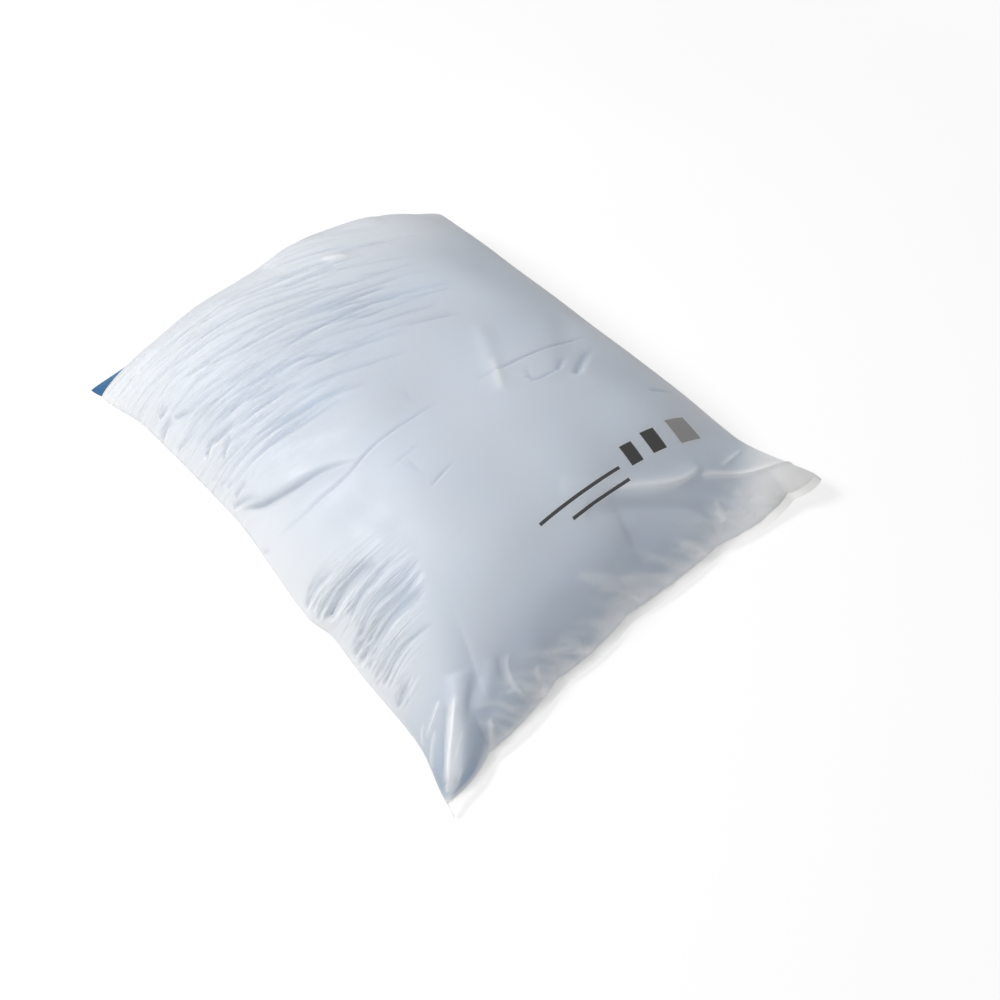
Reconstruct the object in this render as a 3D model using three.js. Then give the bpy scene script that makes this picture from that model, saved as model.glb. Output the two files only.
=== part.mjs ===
// A filled film mailer lying on its back panel: one lay-flat tube of thin milky film, welded across its
// bottom end and open at its mouth, stuffed with a soft square cushion whose far edge fills the mouth.
// Millimetres, +Z up. X runs across the bag and Y along it, from the bottom weld (-Y) to the mouth (+Y).

import * as THREE from 'three';
import { mergeVertices } from 'three/addons/utils/BufferGeometryUtils.js';

// Driving dimensions
const STUFFED_HEIGHT = 120;
const MOUTH_HALF_WIDTH = 184;
const WELD_FLARE = 34;
const FLARE_POWER = 3;
const HEM_WIDTH = 10;
const FILM = 0.5;
const CUSHION_GAP = 2;

// Ends of the bag: the weld bows in at its middle, and the mouth is longer on its left side
const WELD_CORNER_Y = -245;
const WELD_BOW = 21;
const FAR_MIDDLE_Y = 236;
const FAR_SKEW = 22;
const FAR_BULGE = 16;

// The folded side edges lie on the floor at the weld and rise towards the mouth
const WELD_FOLD_Z = 4;
const SIDE_FOLD_Z = 46;
const FOLD_RISE_LENGTH = 1.2;

// Shape of the swell, with lengthwise stations from -1 at the weld to +1 at the cushion's far edge
const CROWN_STATION = 0.15;
const MOUTH_STATION = 0.955;
const CUSHION_STATION = -0.9;
const CUSHION_ROUNDING = 0.3;
const ACROSS = { power: 3, root: 0.75 };
const TO_WELD = { power: 2.9, root: 0.78 };
const TO_MOUTH = { power: 6, root: 0.6 };
const BELLY = 1.9;

// Facets
const RING_SIDES = 40;
const FILM_STATIONS = 18;
const CUSHION_END_STATION = 0.985;

const FILM_MATERIAL = new THREE.MeshStandardMaterial({ color: 0xe3e7ec, roughness: 0.4, metalness: 0 });
const CUSHION_MATERIAL = new THREE.MeshStandardMaterial({ color: 0x3d76a8, roughness: 0.9, metalness: 0 });

function swell(distance, { power, root }) {
  return Math.max(0, 1 - Math.abs(distance) ** power) ** root;
}

function halfWidth(station) {
  return MOUTH_HALF_WIDTH + WELD_FLARE * ((1 - station) / 2) ** FLARE_POWER;
}

function weldY(across) {
  return WELD_CORNER_Y + HEM_WIDTH + WELD_BOW * (1 - across * across);
}

function farY(across) {
  return FAR_MIDDLE_Y - FAR_SKEW * across + FAR_BULGE * (1 - across * across);
}

function lengthY(across, station) {
  return THREE.MathUtils.lerp(weldY(across), farY(across), (station + 1) / 2);
}

function foldZ(station) {
  const rise = THREE.MathUtils.smoothstep(station, -1, -1 + FOLD_RISE_LENGTH);
  return THREE.MathUtils.lerp(WELD_FOLD_Z, SIDE_FOLD_Z, rise);
}

// How full the bag is at a point: 0 on the folded edges and the ends, 1 on the crown
function fullness(across, station) {
  const toEnd = station < CROWN_STATION ? -1 : 1;
  const distance = (station - CROWN_STATION) / (toEnd - CROWN_STATION);
  const along = swell(distance, toEnd < 0 ? TO_WELD : TO_MOUTH);
  return swell(across, ACROSS) * along;
}

// A point of a wall that lies `inset` inside the bag's outer face
function wallPoint(across, upper, station, inset, fill) {
  const fold = foldZ(station);
  const full = fullness(across, station) * fill;
  const onFold = Math.abs(across) === 1;
  const proud = onFold ? 0 : Math.max(0, FILM - inset);
  const flat = Math.min(1, BELLY * full);
  const top = fold + (STUFFED_HEIGHT - Math.max(inset, FILM) - fold) * full + proud;
  const bottom = (fold - proud) * (1 - flat) + inset * flat;
  const x = across * (halfWidth(station) + FILM - inset);
  return new THREE.Vector3(x, lengthY(across, station), upper ? top : bottom);
}

// A row of the hem, the fused strip beyond the weld
function hemPoint(across, upper, y, thickness) {
  const side = Math.abs(across) === 1 ? 0 : thickness;
  const x = across * (halfWidth(-1) + FILM);
  return new THREE.Vector3(x, y, WELD_FOLD_Z + (upper ? side : -side));
}

// The places round the bag that each row has: over the upper side to the right fold, and back underneath
const ringPlaces = Array.from({ length: RING_SIDES }, (_, side) => {
  const upper = side <= RING_SIDES / 2;
  const fromLeft = upper ? side : RING_SIDES - side;
  return { across: -Math.cos((2 * Math.PI * fromLeft) / RING_SIDES), upper };
});

// A closed skin through rows of points. From row `turnAt` on, where the rows come back down the inner face,
// the facets are split the other way, so that the two faces of the film stay parallel.
function skin(rows, turnAt = rows.length) {
  const points = rows.flatMap((row) => ringPlaces.map(({ across, upper }) => row(across, upper)));
  const facets = [];
  for (let row = 0; row < rows.length - 1; row += 1) {
    for (let side = 0; side < RING_SIDES; side += 1) {
      const a = row * RING_SIDES + side;
      const b = row * RING_SIDES + ((side + 1) % RING_SIDES);
      const c = b + RING_SIDES;
      const d = a + RING_SIDES;
      facets.push(...(row < turnAt ? [a, b, d, b, c, d] : [a, b, c, a, c, d]));
    }
  }
  const geometry = new THREE.BufferGeometry().setFromPoints(points);
  geometry.setIndex(facets);
  const closed = mergeVertices(geometry);
  closed.computeVertexNormals();
  return closed;
}

// Stations from one end to the other, closer together at the ends
function spacedStations(from, to, count) {
  return Array.from({ length: count }, (_, i) => {
    const step = (1 - Math.cos((Math.PI * i) / (count - 1))) / 2;
    return THREE.MathUtils.lerp(from, to, step);
  });
}

const filmStations = spacedStations(-1, MOUTH_STATION, FILM_STATIONS);

// The film: out over the outer face from the hem to the mouth, then back down the inner face to the weld
function makeFilmBag() {
  const hem = [0, 1].map((thick) => (across, upper) =>
    hemPoint(across, upper, weldY(across) - HEM_WIDTH + thick, thick * FILM));
  const wall = (inset) => (station) => (across, upper) => wallPoint(across, upper, station, inset, 1);
  const outer = filmStations.map(wall(0));
  const inner = filmStations.map(wall(FILM)).reverse();
  const outside = [...hem, ...outer];
  const mesh = new THREE.Mesh(skin([...outside, ...inner], outside.length), FILM_MATERIAL);
  mesh.name = 'film_bag';
  return mesh;
}

// The cushion: pinched to a seam at both ends, rounded off before it reaches the weld
function makeCushion() {
  const inset = FILM + CUSHION_GAP;
  const within = filmStations.filter((station) => station > CUSHION_STATION);
  const stations = [CUSHION_STATION, ...within, CUSHION_END_STATION, 1];
  const rows = stations.map((station) => {
    const nose = Math.min(1, (station - CUSHION_STATION) / CUSHION_ROUNDING);
    const fill = Math.sqrt(1 - (1 - nose) ** 2);
    return (across, upper) => wallPoint(across, upper, station, inset, fill);
  });
  const mesh = new THREE.Mesh(skin(rows), CUSHION_MATERIAL);
  mesh.name = 'packed_cushion';
  return mesh;
}

// The origin is under the middle of the bag, on the surface that it lies on
const mailer = new THREE.Group();
mailer.add(makeFilmBag(), makeCushion());
const box = new THREE.Box3().setFromObject(mailer);
mailer.position.set(-(box.min.x + box.max.x) / 2, -(box.min.y + box.max.y) / 2, 0);

export default mailer;
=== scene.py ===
"""A filled film mailer, lying on its back panel: milky film pulled over a soft blue cushion."""
import math

import bpy
import numpy as np
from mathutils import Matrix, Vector


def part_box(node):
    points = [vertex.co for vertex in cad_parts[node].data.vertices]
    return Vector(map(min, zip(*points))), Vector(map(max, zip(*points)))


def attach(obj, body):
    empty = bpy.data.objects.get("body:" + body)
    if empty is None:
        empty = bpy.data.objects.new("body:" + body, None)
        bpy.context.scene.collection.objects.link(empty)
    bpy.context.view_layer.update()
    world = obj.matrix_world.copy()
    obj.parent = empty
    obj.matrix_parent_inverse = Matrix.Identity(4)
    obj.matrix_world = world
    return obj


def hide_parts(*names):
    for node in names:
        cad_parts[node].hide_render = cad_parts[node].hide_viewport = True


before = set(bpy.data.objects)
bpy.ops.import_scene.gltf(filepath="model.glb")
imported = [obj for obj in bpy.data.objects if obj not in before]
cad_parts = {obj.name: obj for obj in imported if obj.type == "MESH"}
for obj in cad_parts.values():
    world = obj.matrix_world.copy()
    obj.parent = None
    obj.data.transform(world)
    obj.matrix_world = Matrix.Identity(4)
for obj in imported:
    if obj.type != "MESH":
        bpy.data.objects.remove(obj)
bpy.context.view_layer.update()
MM = 0.001
TINY = 1e-12

# Shape of the stuffed bag, in metres: its ends from the frame, its proportions as in the CAD model.
# A place on it is given by across, from -1 at the left fold to 1 at the right one, and by its station,
# from -1 at the weld to 1 at the cushion's far edge.
BAG_LOW, BAG_HIGH = (Vector(corner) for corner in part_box("film_bag"))
CUSHION_HIGH = Vector(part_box("packed_cushion")[1])
CROWN_Z = BAG_HIGH.z
WELD_HALF_WIDTH = (BAG_HIGH.x - BAG_LOW.x) / 2
WELD_CORNER_Y = BAG_LOW.y
HALF_LENGTH = (BAG_HIGH.y - BAG_LOW.y) / 2
FAR_LEFT_Y = CUSHION_HIGH.y - 1.5 * MM
WELD_FLARE = 34 * MM
FLARE_POWER = 3
HEM_WIDTH = 8 * MM
WELD_BOW = 21 * MM
FAR_SKEW = 22 * MM
FAR_BULGE = 16 * MM
WELD_FOLD_Z = 4 * MM
SIDE_FOLD_Z = 46 * MM
FOLD_RISE = 1.2
CROWN_STATION = 0.15
MOUTH_STATION = 0.955
BELLY = 1.9
BELLY_ROUNDING = 0.12

# Swells, each as the power and the root of its curve: across the bag, and from its crown to its ends
ACROSS_SWELL = (3.0, 0.75)
LOW_ACROSS_SWELL = (2.3, 0.75)
WELD_SWELL = (3.6, 0.70)
EAR_SWELL = (3.2, 0.80)
MOUTH_SWELL = (6.0, 0.6)

# A patch of the bag is given by the ranges across and along over which it fades in. These are the low
# half, whose sides slope more, the full left corner, and the right corner, which stands up like an ear.
LOW_PATCH = ((0.7, 0.1), (0.0, -0.55))
FULL_CORNER_PATCH = ((-0.4, -0.9), (-0.45, -0.9))
CORNER_FULLNESS = 0.7
EAR_SLACK = (0.4, 1.0)
EAR_PATCH = ((0.70, 1.0), (-0.65, -1.0))
EAR_LIFT = 20 * MM

# The right side near the mouth is drawn in a little, and so is the left side near the weld: the shares of
# the half width, and where
RIGHT_TUCK = 0.024
RIGHT_TUCK_PATCH = ((0.2, 1.0), (-0.5, 0.1))
LEFT_TUCK = 0.032
LEFT_TUCK_PATCH = ((-0.5, -1.0), (-0.45, -0.8))
LEFT_TUCK_END = (-1.0, -0.8)

# The left fold bulges out above its gathers and is pinched in at them
LEFT_BULGE = 7.5 * MM
BULGE_PATCH = ((-0.75, -1.0), (0.25, -0.20))
BULGE_END = (-0.36, -0.24)

# Places across the weld where the hem is pinched, so that it runs in scallops between them
HEM_KINKS = (-1.0, -0.76, -0.37, 0.02, 0.51, 0.87, 1.0)
SCALLOP_OUT = 5.0 * MM
SCALLOP_UP = 2.5 * MM
SCALLOP_ROUNDNESS = 0.8
SCALLOP_STATIONS = (-0.86, -1.0)

# The hem runs out to a short tail at the left corner
TAIL = Vector((-4 * MM, -5 * MM, 0))
TAIL_ACROSS = (-0.93, -1.0)

# Film grid: the front panel is fine, most of all along its left fold and in rows across its gathers,
# and the back panel, which lies flat, has fewer columns
FRONT_CELLS = 184
BACK_CELLS = 36
LENGTH_CELLS = 440
HEM_CELLS = 6
HEM_GAP = 0.6 * MM
FLOOR_GAP = 0.1 * MM

# How much the columns and rows crowd, and the shares of the way across or along where they do
LEFT_CROWDING = 0.9
LEFT_CROWD = (0.42, 0.12)
RIGHT_CROWDING = 0.4
RIGHT_CROWD = (0.85, 0.97)
ROW_CROWDING = 0.5
ROW_CROWD_START = (0.08, 0.14)
ROW_CROWD_END = (0.41, 0.47)

# Steps in which distances over the bag are measured, and points of a stroke's line
ACROSS_STEPS = 600
LENGTH_STEPS = 2000
PATH_POINTS = 20

# Cushion: its gap to the film, more at the left side and beside the mouth, and how far it ends short of
# the weld, as (across, millimetres): it is set back at the hem's kinks and leaves the right corner empty
CUSHION_FRONT_CELLS = 96
CUSHION_LENGTH_CELLS = 120
CUSHION_FAR_STATION = 0.998
CUSHION_GAP = 2.2 * MM
MOUTH_GAP = 1.5 * MM
MOUTH_GAP_PATCH = ((0.4, 0.0), (0.15, 0.4))
LEFT_GAP = 3.5 * MM
LEFT_GAP_PATCH = ((-0.3, -0.7), (-0.75, -0.45))
LEFT_SIDE_GAP = 6.0 * MM
LEFT_SIDE_GAP_AT_WELD = 1.8 * MM
RIGHT_SIDE_GAP = 2.5 * MM
UNDER_GAP = 2.0 * MM
UNDER_GAP_ACROSS = (0.5, 0.8)
CUSHION_ROUNDING = 0.035
CUSHION_BLUNT_END = 0.02
CUSHION_END_GAPS = (
    (-1.0, 1), (-0.86, 2), (-0.76, 9), (-0.66, 3), (-0.55, 3), (-0.43, 13), (-0.30, 4), (-0.18, 5),
    (-0.02, 19), (0.14, 9), (0.40, 9), (0.51, 16), (0.62, 19), (0.85, 42), (1.0, 72),
)

# The cushion gives way more than the film in a valley, and rises only so far in a ridge
CUSHION_VALLEY = 1.5
CUSHION_RIDGE = 2 * MM

# The cushion's corners at the mouth: the left one stands out, with a blunt tip, and the film reaches out
# with it, and the right one is tucked in
CORNER_POKE = Vector((-17 * MM, 12 * MM, -13 * MM))
CORNER_POKE_PATCH = ((-0.70, -1.0), (0.80, 1.0))
CORNER_BLUNTING = 0.2
CORNER_TIP = (-0.95, -1.0)
MOUTH_CORNER_REACH = Vector((-8.5 * MM, 1.0 * MM, -2.0 * MM))
MOUTH_CORNER_PATCH = ((-0.70, -1.0), (0.75, MOUTH_STATION))
RIGHT_CORNER_TUCK = Vector((-5 * MM, -6 * MM, 0))
RIGHT_CORNER_PATCH = ((0.80, 1.0), (0.85, 1.0))

# Stations over which the cushion's cloth turns to the darker band at its far end
BAND_STATIONS = (0.90, 0.95)

# Folds drawn as strokes through places (across, station); widths and heights are in millimetres.
# Soft folds shape the cushion too: half width, height, stroke.
SOFT_FOLDS = (
    (6, 1.3, [(-0.82, 0.30), (-0.67, 0.24), (-0.50, 0.21), (-0.29, 0.20)]),
    (7, 1.5, [(-0.86, 0.24), (-0.71, 0.16), (-0.52, 0.08), (-0.302, -0.001)]),
    (6, 1.2, [(-0.65, 0.36), (-0.49, 0.31), (-0.21, 0.27)]),
    (7, 1.0, [(-0.71, 0.12), (-0.491, 0.039), (-0.244, -0.053)]),
    (4, -2.4, [(-0.847, -0.833), (-0.892, -0.859), (-0.932, -0.886), (-0.975, -0.93)]),
    (8, -1.4, [(-0.82, -0.911), (-0.775, -0.89), (-0.714, -0.874), (-0.665, -0.85)]),
    (4, -1.0, [(-0.56, -0.86), (-0.585, -0.894), (-0.575, -0.94)]),
    (9, 2.0, [(-0.584, -0.857), (-0.651, -0.886), (-0.718, -0.926)]),
    (11, 4.5, [(-0.738, -0.80), (-0.82, -0.87), (-0.896, -0.925), (-0.953, -0.97)]),
    (34, 6.0, [(-0.66, -0.82), (-0.40, -0.85), (-0.10, -0.85), (0.15, -0.86)]),
    (8, -3.5, [(0.06, -0.739), (0.294, -0.833), (0.491, -0.909), (0.564, -0.96)]),
    (9, 3.0, [(0.034, -0.637), (0.228, -0.739), (0.416, -0.8), (0.613, -0.799)]),
    (8, 1.8, [(0.361, 0.09), (0.266, -0.064), (0.156, -0.223)]),
    (12, -1.5, [(0.383, -0.316), (0.54, -0.209), (0.698, -0.061), (0.8, 0.05)]),
    (16, 5.0, [(-0.10, 0.86), (0.10, 0.88), (0.35, 0.88), (0.55, 0.86)]),
    (16, -2.5, [(-0.75, 0.92), (-0.50, 0.92), (-0.20, 0.90)]),
)

# Gullies are valleys with one steep wall, which film and cushion share: a deep one at the left, in two
# strokes, and one near the mouth. Half width, depth, stroke.
GULLIES = (
    (9.0, 2.0, [(-1.0, 0.23), (-0.925, 0.11), (-0.83, 0.044), (-0.75, 0.017), (-0.651, -0.027),
                (-0.516, -0.104), (-0.30, -0.21)]),
    (8.0, 8.0, [(-0.985, 0.215), (-0.957, 0.163), (-0.906, 0.109), (-0.807, 0.046), (-0.736, 0.016),
                (-0.675, -0.006), (-0.609, -0.039), (-0.522, -0.09)]),
    (4.0, 4.0, [(0.14, 0.715), (0.218, 0.71), (0.328, 0.70), (0.44, 0.69), (0.65, 0.67)]),
)

# Pleats are sharp grooves with a low lip on their right, and start at a pinch: half width, depth, stroke
PLEATS = (
    (1.3, 3.4, [(-0.992, -0.227), (-0.935, -0.231), (-0.9, -0.24), (-0.863, -0.244)]),
    (1.0, 2.5, [(-0.990, -0.284), (-0.935, -0.281), (-0.908, -0.287)]),
    (1.9, 5.8, [(-0.981, -0.311), (-0.903, -0.32), (-0.851, -0.327), (-0.792, -0.34), (-0.734, -0.366)]),
    (1.4, 3.1, [(-0.930, -0.383), (-0.837, -0.383), (-0.777, -0.393), (-0.663, -0.403)]),
    (1.3, 3.6, [(-0.950, -0.443), (-0.861, -0.443), (-0.803, -0.451), (-0.729, -0.473), (-0.598, -0.483)]),
    (1.3, 3.6, [(-0.941, -0.479), (-0.842, -0.484), (-0.764, -0.496), (-0.705, -0.51), (-0.607, -0.514)]),
    (1.2, 3.9, [(-0.988, -0.453), (-0.9, -0.466)]),
    (1.6, 5.1, [(-0.992, -0.48), (-0.931, -0.49), (-0.874, -0.501), (-0.75, -0.523), (-0.647, -0.551)]),
    (1.2, 3.6, [(-0.959, -0.511), (-0.869, -0.519), (-0.801, -0.529), (-0.731, -0.55), (-0.653, -0.573)]),
    (1.0, 2.4, [(-0.978, -0.523), (-0.892, -0.526), (-0.804, -0.55)]),
    (1.0, 2.0, [(-0.980, -0.56), (-0.89, -0.566), (-0.826, -0.579)]),
    (1.3, 3.2, [(-0.976, -0.596), (-0.881, -0.599), (-0.817, -0.609), (-0.709, -0.643)]),
    (1.0, 2.4, [(-0.959, -0.667), (-0.881, -0.677)]),
    (1.1, 2.5, [(-0.985, -0.671), (-0.903, -0.686), (-0.863, -0.699)]),
    (1.0, 1.5, [(-0.988, -0.573), (-0.953, -0.577)]),
    (1.4, 3.1, [(-0.988, 0.224), (-0.93, 0.176), (-0.89, 0.133)]),
    (1.2, 2.4, [(-0.958, 0.229), (-0.93, 0.222), (-0.884, 0.20)]),
    (1.1, 2.0, [(-1.0, 0.031), (-0.978, 0.001)]),
    (1.0, 1.5, [(-0.977, 0.351), (-0.944, 0.331)]),
    (1.0, 1.5, [(-0.965, 0.307), (-0.938, 0.293)]),
    (1.0, 1.5, [(-0.953, 0.273), (-0.918, 0.262)]),
    (1.2, 4.2, [(-0.953, 0.676), (-0.90, 0.664)]),
    (1.3, 5.1, [(-1.0, 0.631), (-0.96, 0.633), (-0.918, 0.616)]),
    (1.2, 3.8, [(-0.915, 0.609), (-0.855, 0.573)]),
    (1.3, 5.5, [(-0.94, 0.409), (-0.89, 0.424), (-0.855, 0.407), (-0.765, 0.387)]),
    (1.2, 4.7, [(-0.893, 0.344), (-0.855, 0.362), (-0.81, 0.367)]),
    (1.0, 2.5, [(-0.986, 0.549), (-0.90, 0.507)]),
    (1.0, 1.4, [(-0.753, 0.424), (-0.687, 0.418)]),
    (1.8, 2.3, [(0.484, -0.303), (0.625, -0.223), (0.709, -0.186)]),
    (1.2, 1.7, [(0.438, -0.253), (0.534, -0.196)]),
    (1.4, 1.7, [(0.727, -0.451), (0.867, -0.471)]),
)

# The first pleats of the list lie in the left fold's gathers, and finer ones go beside them at seeded
# places: how far beside, from where, and their length, width and depth as shares of the pleat's own
GATHERED_PLEATS = 14
COMPANION_SEED = 9
COMPANION_SIDES = (-2, -1, 1, 2)
COMPANION_SHIFTS = (0.007, 0.014)
COMPANION_STARTS = (0, 0.03)
COMPANION_LENGTHS = (0.5, 1.0)
COMPANION_WIDTH = 0.7
COMPANION_DEPTHS = (0.25, 0.5)

# Ridges stand up sharply where the film is pulled tight: half width, height, stroke
RIDGES = (
    (2.4, 4.8, [(-0.80, -0.839), (-0.846, -0.877), (-0.881, -0.906), (-0.923, -0.937), (-0.981, -0.985)]),
    (1.6, 3.2, [(-0.866, -0.803), (-0.897, -0.813), (-0.936, -0.82), (-0.969, -0.82)]),
    (1.4, 2.8, [(-0.935, -0.84), (-0.956, -0.854), (-0.979, -0.867), (-0.995, -0.89)]),
    (1.3, 2.0, [(-0.956, -0.789), (-0.98, -0.803), (-0.995, -0.82)]),
    (1.2, 2.4, [(-0.837, -0.914), (-0.869, -0.93), (-0.905, -0.951), (-0.95, -0.99)]),
    (1.2, 1.2, [(-0.881, -0.687), (-0.929, -0.679)]),
    (1.2, 1.2, [(-0.866, -0.701), (-0.94, -0.699)]),
    (1.1, 1.6, [(-0.527, -0.877), (-0.551, -0.894), (-0.562, -0.93), (-0.551, -0.963), (-0.522, -0.99)]),
    (1.5, 2.6, [(-0.454, -0.945), (-0.456, -0.966), (-0.455, -1.0)]),
    (1.5, 2.2, [(-0.707, -0.95), (-0.745, -1.0)]),
    (1.5, 2.0, [(-0.071, -0.914), (0.029, -0.953), (0.136, -0.993)]),
    (1.4, 1.8, [(-0.063, -0.949), (0.125, -0.996)]),
    (1.8, 2.0, [(-0.131, -0.856), (0.0, -0.921), (0.156, -0.977)]),
    (1.4, 1.6, [(-0.086, -0.964), (-0.03, -1.0)]),
    (2.6, 2.6, [(0.236, -0.739), (0.419, -0.801), (0.522, -0.813), (0.611, -0.799)]),
    (2.4, 4.0, [(0.592, -0.826), (0.837, -0.887), (0.996, -0.906)]),
    (1.6, 1.2, [(0.711, -0.821), (0.849, -0.791)]),
    (1.5, 1.4, [(0.686, -0.909), (0.725, -0.944)]),
    (1.5, 1.4, [(0.577, -0.911), (0.575, -0.964)]),
    (1.5, 2.2, [(0.334, -0.949), (0.529, -1.0)]),
    (1.3, 1.6, [(0.351, -0.98), (0.502, -1.0)]),
    (1.6, 1.4, [(0.254, -0.086), (0.205, -0.159), (0.159, -0.224)]),
    (1.8, 2.2, [(0.10, 0.715), (0.155, 0.70), (0.21, 0.685)]),
)

# Short ridges at seeded places along the weld: how many, between which places across it, and the ranges of
# their length, slant and bend over the bag and of their half width and height
WELD_GATHERS = 44
GATHER_SEED = 3
GATHER_ENDS = (-0.62, 0.90)
GATHER_SHIFTS = (-0.03, 0.03)
GATHER_LENGTHS = (0.08, 0.26)
GATHER_SLANTS = (0.25, 0.6)
GATHER_BENDS = (0.4, 0.6)
GATHER_HALF_WIDTHS = (1.3, 2.4)
GATHER_HEIGHTS = (1.2, 3.6)

# Hairline creases from when the film lay folded: half width, depth, stroke
CREASES = (
    (0.9, 1.2, [(-0.932, -0.013), (-0.837, -0.049), (-0.729, -0.073), (-0.617, -0.094), (-0.407, -0.10),
                (-0.239, -0.109), (-0.073, -0.113)]),
    (0.9, 0.7, [(-0.433, -0.2), (-0.297, -0.209)]),
    (0.9, 0.6, [(-0.366, -0.336), (-0.375, -0.224)]),
    (1.1, 0.8, [(-0.38, -0.35), (-0.246, -0.339)]),
    (0.9, 0.4, [(-0.154, -0.084), (-0.159, 0.1)]),
    (1.0, 1.4, [(0.133, -0.127), (0.264, -0.139), (0.502, -0.137), (0.747, -0.121)]),
    (1.0, 1.1, [(0.336, -0.173), (0.302, -0.249), (0.438, -0.253)]),
)

# Wrinkles beside the mouth that stand out: half width, depth, stroke
MOUTH_WRINKLES = (
    (1.2, 1.6, [(-0.947, 0.88), (-0.878, 0.878), (-0.807, 0.869), (-0.704, 0.847)]),
    (1.0, 1.3, [(-0.896, 0.716), (-0.816, 0.711), (-0.71, 0.68)]),
    (1.1, 1.6, [(-0.783, 0.671), (-0.68, 0.627), (-0.594, 0.593), (-0.45, 0.551), (-0.195, 0.52)]),
    (1.3, 2.0, [(-0.397, 0.451), (-0.24, 0.437), (-0.059, 0.422), (0.082, 0.404)]),
    (1.0, 1.3, [(-0.673, 0.776), (-0.562, 0.791), (-0.475, 0.784), (-0.339, 0.787)]),
    (1.5, 3.0, [(0.12, 0.66), (0.09, 0.667), (-0.027, 0.68), (-0.145, 0.696)]),
    (1.3, 2.3, [(0.13, 0.69), (0.118, 0.696), (-0.012, 0.733), (-0.121, 0.756)]),
    (1.0, 1.3, [(-0.11, 0.471), (-0.027, 0.464), (0.067, 0.456)]),
    (1.0, 1.2, [(-0.572, 0.687), (-0.426, 0.647), (-0.271, 0.62)]),
    (1.0, 1.2, [(-0.331, 0.673), (-0.191, 0.642), (-0.02, 0.611)]),
    (1.0, 1.2, [(-0.256, 0.58), (-0.102, 0.558), (0.051, 0.533)]),
    (1.4, 1.2, [(-0.619, 0.436), (-0.499, 0.398), (-0.368, 0.367), (-0.226, 0.289)]),
)

# Finer wrinkles between them at seeded places, more of them to the left: how many, where they start and
# end, and the ranges of their length, drop and bend over the bag and of their half width and depth
WRINKLES = 150
WRINKLE_SEED = 5
WRINKLE_STATIONS = (0.22, 0.93)
WRINKLE_LEFT_END = -0.95
WRINKLE_SPREAD = 1.15
WRINKLE_CROWDING = 1.3
WRINKLE_RIGHT_END = 0.5
WRINKLE_LENGTHS = (0.15, 0.55)
WRINKLE_DROPS = (-0.30, -0.12)
WRINKLE_BENDS = (-0.012, 0.012)
WRINKLE_HALF_WIDTHS = (0.8, 1.5)
WRINKLE_DEPTHS = (0.3, 1.2)

# Profiles of the folds, in half widths of the fold
FOLD_REACH = 9
GROOVE_ROUNDING = 0.15
GROOVE_LIP = 0.4
GROOVE_LIP_PLACE = 2.0
CREST_ROUNDING = 0.25
GULLY_WALL = 0.5
GULLY_WALL_FOOT = (0.15, -0.15)
GULLY_SLOPE = 2.5
GULLY_END = (9, 5)

# Fades along a stroke: the share over which a fold comes in, and the power with which it dies out
WEDGE_START = 0.25
WEDGE_POWER = 0.7
PINCH_START = 0.08
PINCH_POWER = 0.8

# How much wider a fold grows along its stroke, and the stations over which folds die out at the weld
GULLY_SPREAD = -0.7
PLEAT_SPREAD = 1.0
COMPANION_SPREAD = 0.6
WELD_FADE = (-1.02, -0.965)

# Slow lumps of the filling: waves of about one length, which fade at the side folds
LUMP_HEIGHT = 1.0 * MM
LUMP_LENGTH = 0.10
LUMP_LENGTHS = (0.6, 1.5)
LUMP_WAVES = 14
LUMP_SEED = 21
LUMP_FADE_POWER = 6

# Plain fields of dark ink on the front: bars as (left end, right end, width in millimetres), blocks as
# (middle, width and height in millimetres, ink colour)
INK = (0.03, 0.03, 0.035, 1)
BLACK_INK = (0.02, 0.02, 0.02, 1)
GREY_INK = (0.20, 0.20, 0.20, 1)
PRINT_BARS = (
    ((-0.138, -0.684), (0.299, -0.689), 3.0),
    ((-0.010, -0.729), (0.299, -0.739), 3.0),
)
PRINT_BLOCKS = (
    ((0.390, -0.666), 13, 20, BLACK_INK),
    ((0.516, -0.659), 15, 22, BLACK_INK),
    ((0.679, -0.656), 24, 26, GREY_INK),
)

# The film's colours, gloss and roughness. The hem's grey and the raised right corner's darker grey are
# painted shade, for the shadowed floor seen through the film. Its measures are metres over the flat film:
# to the side from its middle line, along it from the weld, or from a corner.
FILM_WHITE = (0.93, 0.93, 0.93, 1)
# Painted shade: the hem a little greyer than the film
HEM_SHADE_GREY = (0.90, 0.90, 0.89, 1)
# Painted shade: the raised right corner much greyer than the film
EAR_SHADE_GREY = (0.56, 0.56, 0.55, 1)
THROUGH_WHITE = (0.97, 0.97, 0.97, 1)
FILM_GLOSS = 0.45
FILM_ROUGHNESS = (0.34, 0.48)
FILM_CLOUD = (26.0, 3.0)
# Where the hem begins along the film, and with it the hem's painted shade
HEM_EDGE = (-0.5 * MM, 0.5 * MM)
LEFT_CORNER = (-1.0, -1.0)
RIGHT_CORNER = (1.0, -1.0)
# Distances from the right corner over which its painted shade fades out
EAR_SHADE_REACH = (0.03, 0.085)

# Share of the light that goes through the film where it is tight, near the weld and beyond, and where it
# is loose, at the sides and the mouth. The lower loose share is partly the film standing off the cushion
# and partly painted light, set for the brightness of the lit left side.
TIGHT_SHARES = (0.64, 0.56)
TIGHT_LENGTHS = (0.02, 0.14)
LOOSE_SHARE_WITH_PAINTED_LIGHT = 0.42
LOOSE_SIDES = (0.12, 0.22)
LOOSE_SIDES_FROM_WELD = (0.07, 0.15)
LOOSE_MOUTH = (0.36, 0.50)

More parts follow.
